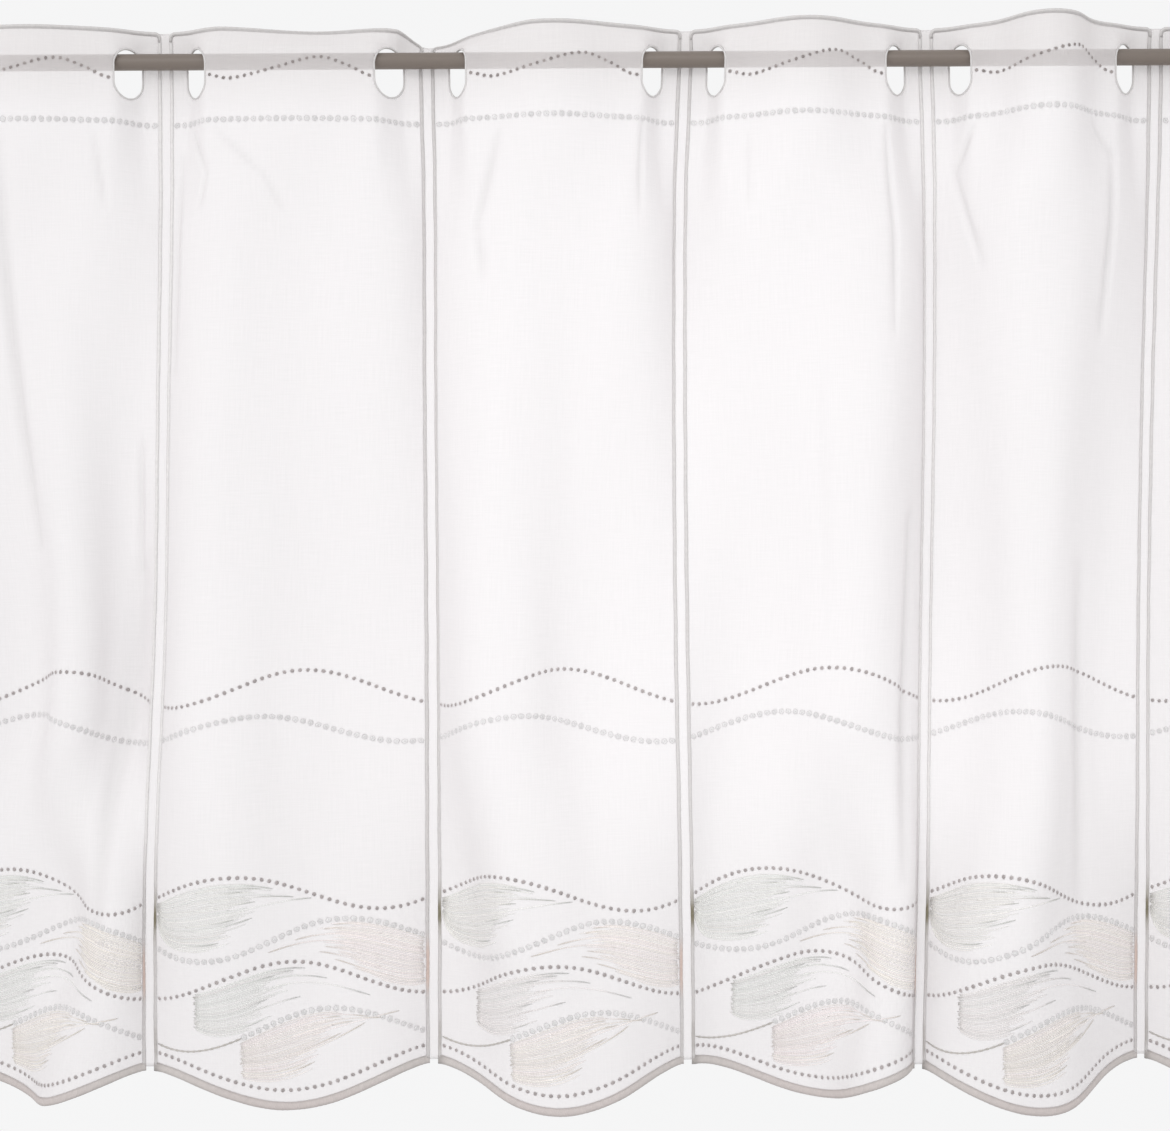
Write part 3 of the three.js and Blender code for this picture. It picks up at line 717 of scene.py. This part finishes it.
# Brushed patches of long stitches. Each begins at a share of the panel's width and runs across between
# two curves. fill is how far its short stitches reach at even steps from its top to its bottom, and
# each stroke is how far down the patch it lies and the share where its dark tip ends. start is how
# strong the grey is where the stitches begin, and shares how far each panel's thread goes from the
# first dye to the second.
patches = [
    {"begin": 0.029, "start": 0.75, "dye": (234, 235, 232), "second": (237, 234, 230),
     "tip": (186, 187, 183), "shares": [0.2, 0.3, 0.6, 0.2, 0.8, 0.5],
     "top": lambda t: waveLine("firstDark", t) + 3.2,
     "bottom": lambda t: waveLine("firstPale", t) - 4 - 30 * t**2 - 12 * np.exp(-(t - 0.029) / 0.02),
     "fill": [0.44, 0.42, 0.37, 0.36, 0.33, 0.3, 0.27],
     "strokes": [(0.03, 0.46), (0.08, 0.42), (0.15, 0.36), (0.26, 0.53), (0.36, 0.4), (0.47, 0.59),
                 (0.6, 0.33), (0.67, 0.39), (0.9, 0.28)]},
    {"begin": 0.18, "start": 0.9, "dye": (233, 234, 231), "second": (236, 231, 230),
     "tip": (186, 186, 184), "shares": [0.1, 0.2, 0.9, 0.2, 0.9, 0.3],
     "top": lambda t: waveLine("secondDark", t) + 3 - 1.5 * np.exp(-(t - 0.18) / 0.05),
     "bottom": lambda t: waveLine("secondPale", t) - 1 - 12 * np.exp(-(t - 0.18) / 0.09),
     "fill": [0.5, 0.5, 0.46, 0.43, 0.4, 0.38, 0.36],
     "strokes": [(0.02, 0.56), (0.07, 0.52), (0.13, 0.46), (0.2, 0.63), (0.35, 0.77), (0.55, 0.43),
                 (0.68, 0.54), (0.9, 0.41)]},
    {"begin": 0.971, "start": 0.3, "dye": (243, 234, 233), "second": (241, 236, 229),
     "tip": (206, 199, 192), "shares": [1.0, 0.2, 0.4, 0.8, 0.5, 0.2],
     "top": lambda t: waveLine("firstPale", t) + 1.5,
     "bottom": lambda t: waveLine("secondDark", t) - 2 - 3 * np.exp((t - 0.971) / 0.05),
     "fill": [0.69, 0.67, 0.65, 0.66, 0.68, 0.72, 0.77],
     "strokes": [(0.06, 0.66), (0.15, 0.63), (0.28, 0.53), (0.45, 0.44), (0.6, 0.63), (0.75, 0.61),
                 (0.88, 0.66)]},
    {"begin": 0.334, "start": 0.3, "dye": (243, 234, 234), "second": (241, 236, 229),
     "tip": (204, 198, 190), "shares": [0.8, 0.4, 0.6, 0.2, 0.7, 0.4],
     "top": lambda t: waveLine("secondPale", t) + 2,
     "bottom": lambda t: waveLine("hemDark", t) - 3 - 120 * (t - 0.334) ** 2,
     "fill": [0.66, 0.64, 0.64, 0.62, 0.58, 0.55, 0.5],
     "strokes": [(0.06, 0.76), (0.12, 0.67), (0.2, 0.81), (0.3, 0.71), (0.38, 0.87), (0.58, 0.67),
                 (0.65, 0.75), (0.88, 0.58)]},
]

# Spreads are the least and the most that a strand's size or tone is scaled by.
brush = {
    "spacing": 0.85, "steps": 20, "sides": 4, "high": 0.42, "fillWide": 0.33, "strokeWide": 0.3,
    "tipWide": 0.52, "tipLength": (8, 20), "taper": 3, "thinnest": 0.3, "ragged": 0.035,
    "startScatter": 0.012, "strokeStart": 0.45, "wobble": 0.25, "fillTip": 0.12, "startReach": 1.6,
    "startDye": (168, 165, 159), "wideSpread": (0.7, 1.15), "toneSpread": (0.93, 1.07),
    "shareScatter": 0.3, "seed": 40,
}


# The strands of one patch: flat paths, half widths and dyes at even steps. A strand runs from its
# start to its end at its own share of the way from the patch's top curve to its bottom one.
def patchStrands(patch, i, seed):
    own = np.random.default_rng(seed)
    begin, fill, strokes = patch["begin"], patch["fill"], np.array(patch["strokes"])
    middle = begin + 0.35 * (fill[3] - begin)
    count = int((patch["bottom"](middle) - patch["top"](middle)) / brush["spacing"])
    q = (np.arange(count) + 0.5) / count
    ends = np.interp(q, np.linspace(0, 1, len(fill)), fill) + own.normal(0, brush["ragged"], count)
    starts = begin + own.uniform(0, brush["startScatter"], count) * np.sign(fill[0] - begin)
    starts = np.concatenate([starts, begin + brush["strokeStart"] * (strokes[:, 1] - begin)])[:, None]
    ends = np.concatenate([ends, strokes[:, 1]])[:, None]
    q = np.concatenate([q, strokes[:, 0]])[:, None]
    isStroke = np.arange(len(q))[:, None] >= count
    each = (len(q), 1)
    u = np.linspace(0, 1, brush["steps"]) ** 0.85
    t = blend(starts, ends, u)
    wobble = own.uniform(-1, 1, each) * brush["wobble"] * np.sin(4 * u + own.uniform(0, 6, each))
    v = (1 - q) * patch["top"](t) + q * patch["bottom"](t) + wobble
    left = np.abs(ends - t) * panel["width"]
    dark = np.clip(1 - left / own.uniform(*brush["tipLength"], each), 0, 1) ** 0.6
    dark = np.where(isStroke, dark, brush["fillTip"] * own.uniform(0, 1, each))
    first = np.exp(-(np.abs(t - begin) * panel["width"] / brush["startReach"]) ** 2)
    first = np.where(isStroke, 0, patch["start"] * first * own.uniform(0.3, 1, each))
    stroke = blend(brush["strokeWide"], brush["tipWide"], dark)
    wide = np.where(isStroke, stroke, brush["fillWide"] * own.uniform(*brush["wideSpread"], each))
    wide = wide * np.clip(left / brush["taper"], brush["thinnest"], 1)
    mix = np.clip(patch["shares"][i] + own.normal(0, brush["shareScatter"], each), 0, 1)
    base = blend(tint(*patch["dye"]), tint(*patch["second"]), mix)
    base = (base * own.uniform(*brush["toneSpread"], each))[:, None]
    dye = blend(base, tint(*patch["tip"]), dark[..., None])
    dye = blend(dye, tint(*brush["startDye"]), first[..., None])
    return joined((i + t) * panel["width"], v), wide, dye


def brushPiece(i):
    made = [patchStrands(patch, i, brush["seed"] + n) for n, patch in enumerate(patches)]
    paths, wide, dye = (np.concatenate(parts) for parts in zip(*made))
    return makePiece(f"brush_stitches_{i + 1}", *stitchTubes(paths, wide, brush["high"], brush["sides"]),
                     sectionDyeAndShade(dye, brush["sides"]))


stitchedLine = {"inset": 5.2, "end": 0.34, "steps": 60, "wide": 0.5, "high": 0.55, "bead": 3.4,
                "sides": 6, "dye": (178, 174, 169)}


# The solid line along the left of the lowest pale wave, beaded by its stitches.
def lineStitches(i):
    t = np.linspace(stitchedLine["inset"] / panel["width"], stitchedLine["end"], stitchedLine["steps"])
    path = joined((i + t) * panel["width"], waveLine("secondPale", t))[None]
    beads = np.sin(2 * np.pi * t * panel["width"] / stitchedLine["bead"])
    dye = tint(*stitchedLine["dye"]) * (1 + 0.15 * np.sin(9 * t))[:, None]
    tubes = stitchTubes(path, stitchedLine["wide"] * (1 + 0.4 * beads), stitchedLine["high"],
                        stitchedLine["sides"])
    return makePiece(f"line_stitches_{i + 1}", *tubes, sectionDyeAndShade(dye[None], stitchedLine["sides"]))


brushes = [brushPiece(i) for i in panels]
lines = [lineStitches(i) for i in panels]
print("brushed patches made")


# A shader node group with its sockets: inputs and outputs are names with a socket type.
def newGroup(name, inputs, outputs):
    tree = bpy.data.node_groups.new(name, "ShaderNodeTree")
    for direction, sockets in (("INPUT", inputs), ("OUTPUT", outputs)):
        for label, kind in sockets.items():
            tree.interface.new_socket(label, in_out=direction, socket_type=kind)
    return tree, tree.nodes.new("NodeGroupInput"), tree.nodes.new("NodeGroupOutput")


# A new node with its settings. Its inputs are other nodes' outputs or plain values.
def addNode(tree, kind, inputs={}, **settings):
    node = tree.nodes.new("ShaderNode" + kind)
    for name, value in settings.items():
        setattr(node, name, value)
    for label, value in inputs.items():
        if isinstance(value, bpy.types.NodeSocket):
            tree.links.new(value, node.inputs[label])
        else:
            node.inputs[label].default_value = value
    return node


def mathNode(tree, operation, *values):
    return addNode(tree, "Math", dict(enumerate(values)), operation=operation).outputs[0]


# A value between low and high, as one between toLow and toHigh.
def mapRange(tree, value, low, high, toLow, toHigh):
    return addNode(tree, "MapRange", dict(enumerate((value, low, high, toLow, toHigh)))).outputs[0]


def mixColour(tree, factor, first, second):
    inputs = {"Factor": factor, "A": first, "B": second}
    return addNode(tree, "Mix", inputs, data_type="RGBA").outputs["Result"]


# Noise drawn out along one way: stretch is its cells for each metre along X, Y and Z.
def drawnNoise(tree, vector, stretch, detail=1.0):
    spread = addNode(tree, "VectorMath", {0: vector, 1: stretch}, operation="MULTIPLY").outputs[0]
    return addNode(tree, "TexNoise", {"Vector": spread, "Scale": 1, "Detail": detail}).outputs["Fac"]


# Plain weave of fine uneven yarns on the flat cloth: Cover is how closely they lie, Height their
# relief, both from slubs drawn out along the warp and the weft with a slow cloudiness.
def weaveGroup():
    tree, given, made = newGroup("voile weave", {"Flat": "NodeSocketVector"},
                                 {"Cover": "NodeSocketFloat", "Height": "NodeSocketFloat"})
    flat = given.outputs["Flat"]
    weft, warp = drawnNoise(tree, flat, (70, 1700, 1)), drawnNoise(tree, flat, (1700, 50, 1))
    yarns = mathNode(tree, "ADD", weft, warp)
    cloud = mathNode(tree, "MULTIPLY", drawnNoise(tree, flat, (26, 18, 1), 2.0), 0.35)
    cover = mathNode(tree, "ADD", mathNode(tree, "MULTIPLY", yarns, 0.5), cloud)
    tree.links.new(cover, made.inputs["Cover"])
    tree.links.new(yarns, made.inputs["Height"])
    return tree


# Close stitches laid across a line: ridges at a pitch along the thread, a little uneven. Shade is
# painted shade that dips between them, with an uneven tone along them, and Height is their relief.
def stitchGroup():
    tree, given, made = newGroup(
        "close stitches", {"Thread": "NodeSocketVector", "Stitches per metre": "NodeSocketFloat"},
        {"Shade": "NodeSocketFloat", "Height": "NodeSocketFloat"})
    thread = given.outputs["Thread"]
    parts = addNode(tree, "SeparateXYZ", {0: thread})
    wander = drawnNoise(tree, thread, (300, 420, 1), 2.0)
    slant = mathNode(tree, "MULTIPLY", parts.outputs["X"], 0.3)
    run = mathNode(tree, "MULTIPLY", mathNode(tree, "ADD", parts.outputs["Y"], slant),
                   given.outputs["Stitches per metre"])
    run = mathNode(tree, "ADD", run, mathNode(tree, "MULTIPLY", wander, 1.6))
    wave = mathNode(tree, "ABSOLUTE", mathNode(tree, "SINE", mathNode(tree, "MULTIPLY", run, math.pi)))
    tree.links.new(wave, made.inputs["Height"])
    # Painted shade between the stitches, and an uneven tone from the wander.
    shade = mathNode(tree, "ADD", mathNode(tree, "MULTIPLY", wave, 0.16),
                     mathNode(tree, "MULTIPLY", wander, 0.22))
    tree.links.new(mathNode(tree, "ADD", shade, 0.8), made.inputs["Shade"])
    return tree


weave = weaveGroup()
stitches = stitchGroup()


def newMaterial(name, roughness, specular):
    material = bpy.data.materials.new(name)
    material.use_nodes = True
    shader = material.node_tree.nodes["Principled BSDF"]
    shader.inputs["Roughness"].default_value = roughness
    shader.inputs["Specular IOR Level"].default_value = specular
    return material, material.node_tree, shader


# Small relief on a finish, high in millimetres.
def roughen(tree, shader, height, high, strength):
    bump = addNode(tree, "Bump", {"Height": height, "Distance": high * mm, "Strength": strength})
    tree.links.new(bump.outputs["Normal"], shader.inputs["Normal"])


# Opacity is cover and edge. The dye goes from a painted shade along the top to the cloth's dye over a
# band in metres down,
# and towards grey, painted shade too: by up to slant where it is seen edge on, in the creases, and by up
# to low towards the hem.
voileLook = {
    "cover": (0.445, 0.485), "edge": 0.22, "dye": (244, 241, 242), "shadedTopDye": (233, 229, 229),
    "topShadeBand": (0.020, 0.048), "grey": (205, 201, 201), "slant": 0.14, "creaseShade": 0.36, "low": 0.06,
    "lowShadeBand": (0.37, 0.47),
}


# Sheer voile: each of its two faces lets part of the light through, less where it is seen edge on.
def voileMaterial():
    material, tree, shader = newMaterial("voile", 0.85, 0.15)
    place = addNode(tree, "UVMap", uv_map="thread").outputs["UV"]
    down = addNode(tree, "SeparateXYZ", {0: place}).outputs["Y"]
    cloth = addNode(tree, "Group", {"Flat": place}, node_tree=weave)
    facing = addNode(tree, "LayerWeight", {"Blend": 0.35}).outputs["Facing"]
    creaseShade = addNode(tree, "Attribute", attribute_name="creaseShade").outputs["Fac"]
    cover = mapRange(tree, cloth.outputs["Cover"], 0.45, 0.9, *voileLook["cover"])
    edge = mapRange(tree, facing, 0, 0.8, 0, voileLook["edge"])
    tree.links.new(mathNode(tree, "ADD", cover, edge), shader.inputs["Alpha"])
    # Painted shade: darker along the top of the heading, fading out over a band down.
    dye = mixColour(tree, mapRange(tree, down, *voileLook["topShadeBand"], 0, 1),
                    (*tint(*voileLook["shadedTopDye"]), 1), (*tint(*voileLook["dye"]), 1))
    # Painted shade: greyer where the cloth is seen edge on and in its creases.
    grey = mathNode(tree, "ADD", mapRange(tree, facing, 0.02, 0.35, 0, voileLook["slant"]),
                    mapRange(tree, creaseShade, 0.1, 2.6, 0, voileLook["creaseShade"]))
    # Painted shade: greyer towards the hem.
    grey = mathNode(tree, "ADD", grey, mapRange(tree, down, *voileLook["lowShadeBand"], 0, voileLook["low"]))
    dye = mixColour(tree, grey, dye, (*tint(*voileLook["grey"]), 1))
    tree.links.new(dye, shader.inputs["Base Color"])
    roughen(tree, shader, cloth.outputs["Height"], 0.02, 0.5)
    return material


# Embroidery thread of each place's dye, its stitches close together across the line. The dye holds the
# painted shade across each section, and the stitches add painted shade between them.
def threadMaterial(name, perMetre, roughness, high):
    material, tree, shader = newMaterial(name, roughness, 0.3)
    place = addNode(tree, "UVMap", uv_map="thread").outputs["UV"]
    dye = addNode(tree, "Attribute", attribute_name="dye").outputs["Color"]
    rows = addNode(tree, "Group", {"Thread": place, "Stitches per metre": perMetre}, node_tree=stitches)
    # Painted shade between the stitches scales the dye.
    shaded = addNode(tree, "VectorMath", {0: dye, "Scale": rows.outputs["Shade"]}, operation="SCALE")
    tree.links.new(shaded.outputs[0], shader.inputs["Base Color"])
    roughen(tree, shader, rows.outputs["Height"], high, 0.8)
    return material


# Small knots: their dye, with a fine roughness of loose thread.
def knotMaterial(name, roughness):
    material, tree, shader = newMaterial(name, roughness, 0.2)
    dye = addNode(tree, "Attribute", attribute_name="dye").outputs["Color"]
    tree.links.new(dye, shader.inputs["Base Color"])
    place = addNode(tree, "TexCoord").outputs["Object"]
    roughen(tree, shader, drawnNoise(tree, place, (2600, 2600, 2600), 2.0), 0.25, 0.7)
    return material


# Satin lacquer on the rod: faint orange peel and a slow change of gloss along it.
def rodMaterial():
    material, tree, shader = newMaterial("rod lacquer", 0.4, 0.5)
    shader.inputs["Base Color"].default_value = (*tint(*rod["dye"]), 1)
    place = addNode(tree, "TexCoord").outputs["Object"]
    slow = drawnNoise(tree, place, (12, 60, 60), 2.0)
    tree.links.new(mapRange(tree, slow, 0.3, 0.7, 0.34, 0.46), shader.inputs["Roughness"])
    roughen(tree, shader, drawnNoise(tree, place, (900, 900, 900), 2.0), 0.04, 0.4)
    return material


def dress(pieces, material):
    for piece in pieces:
        piece.data.materials.append(material)


dress(sheets, voileMaterial())
for pieces, name, perMetre, roughness, high in (
        (columns, "column satin", 1900, 0.5, 0.03), (cords, "cord satin", 1500, 0.5, 0.04),
        (borders, "border satin", 1300, 0.55, 0.05), (rims, "rim satin", 1700, 0.5, 0.03),
        (brushes, "brush thread", 700, 0.6, 0.02), (lines, "line thread", 900, 0.6, 0.03)):
    dress(pieces, threadMaterial(name, perMetre, roughness, high))
dress(darkRows + topRows, knotMaterial("dark knots", roughness=0.7))
dress(paleRows, knotMaterial("pale knots", roughness=0.85))
dress([bar], rodMaterial())
print("materials made")


# Lengths of the stage are metres.
stage = {"floorDrop": 0.3, "floorHalf": 1.1, "floorBack": 0.6, "wall": (0.918, 0.918, 0.92, 1)}

view = {"place": (0.396, -1.080, -0.2795), "turn": (90, 0.3, 0), "lens": 60.09, "sensor": 36}

softboxAim = (0.49, 0, -0.29)
softboxes = [
    {"place": (-0.75, -1.5, 0.5), "size": 1, "watts": 7, "spread": 180},
    {"place": (0.62, -1.2, 0.32), "size": 0.3, "watts": 0.16, "spread": 34},
]


def makeFloor():
    mesh = bpy.data.meshes.new("floor")
    half, back, z = stage["floorHalf"], stage["floorBack"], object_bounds()[0][2] - stage["floorDrop"]
    middle = 0.5 * (cadBox[0][0] + cadBox[1][0])
    mesh.from_pydata([(middle - half, -half, z), (middle + half, -half, z),
                      (middle + half, back, z), (middle - half, back, z)], [], [(0, 1, 2, 3)])
    addObject("floor", mesh)


def makeCamera():
    camera = addObject("camera", bpy.data.cameras.new("camera"))
    camera.location = view["place"]
    camera.rotation_euler = [math.radians(turn) for turn in view["turn"]]
    camera.data.lens = view["lens"]
    camera.data.sensor_width = view["sensor"]
    bpy.context.scene.camera = camera


def makeWorld():
    world = bpy.data.worlds.new("studio")
    world.use_nodes = True
    world.node_tree.nodes["Background"].inputs["Color"].default_value = stage["wall"]
    bpy.context.scene.world = world
    bpy.context.scene.view_settings.view_transform = "Standard"


def makeSoftbox(box):
    lamp = bpy.data.lights.new("softbox", "AREA")
    lamp.size = box["size"]
    lamp.energy = box["watts"]
    lamp.spread = math.radians(box["spread"])
    holder = addObject("softbox", lamp)
    holder.location = box["place"]
    aim = np.subtract(softboxAim, box["place"])
    tilt = math.acos(-aim[2] / np.linalg.norm(aim))
    holder.rotation_euler = (tilt, 0, math.atan2(aim[1], aim[0]) - math.pi / 2)


makeFloor()
makeCamera()
makeWorld()
for box in softboxes:
    makeSoftbox(box)

print("stage set")
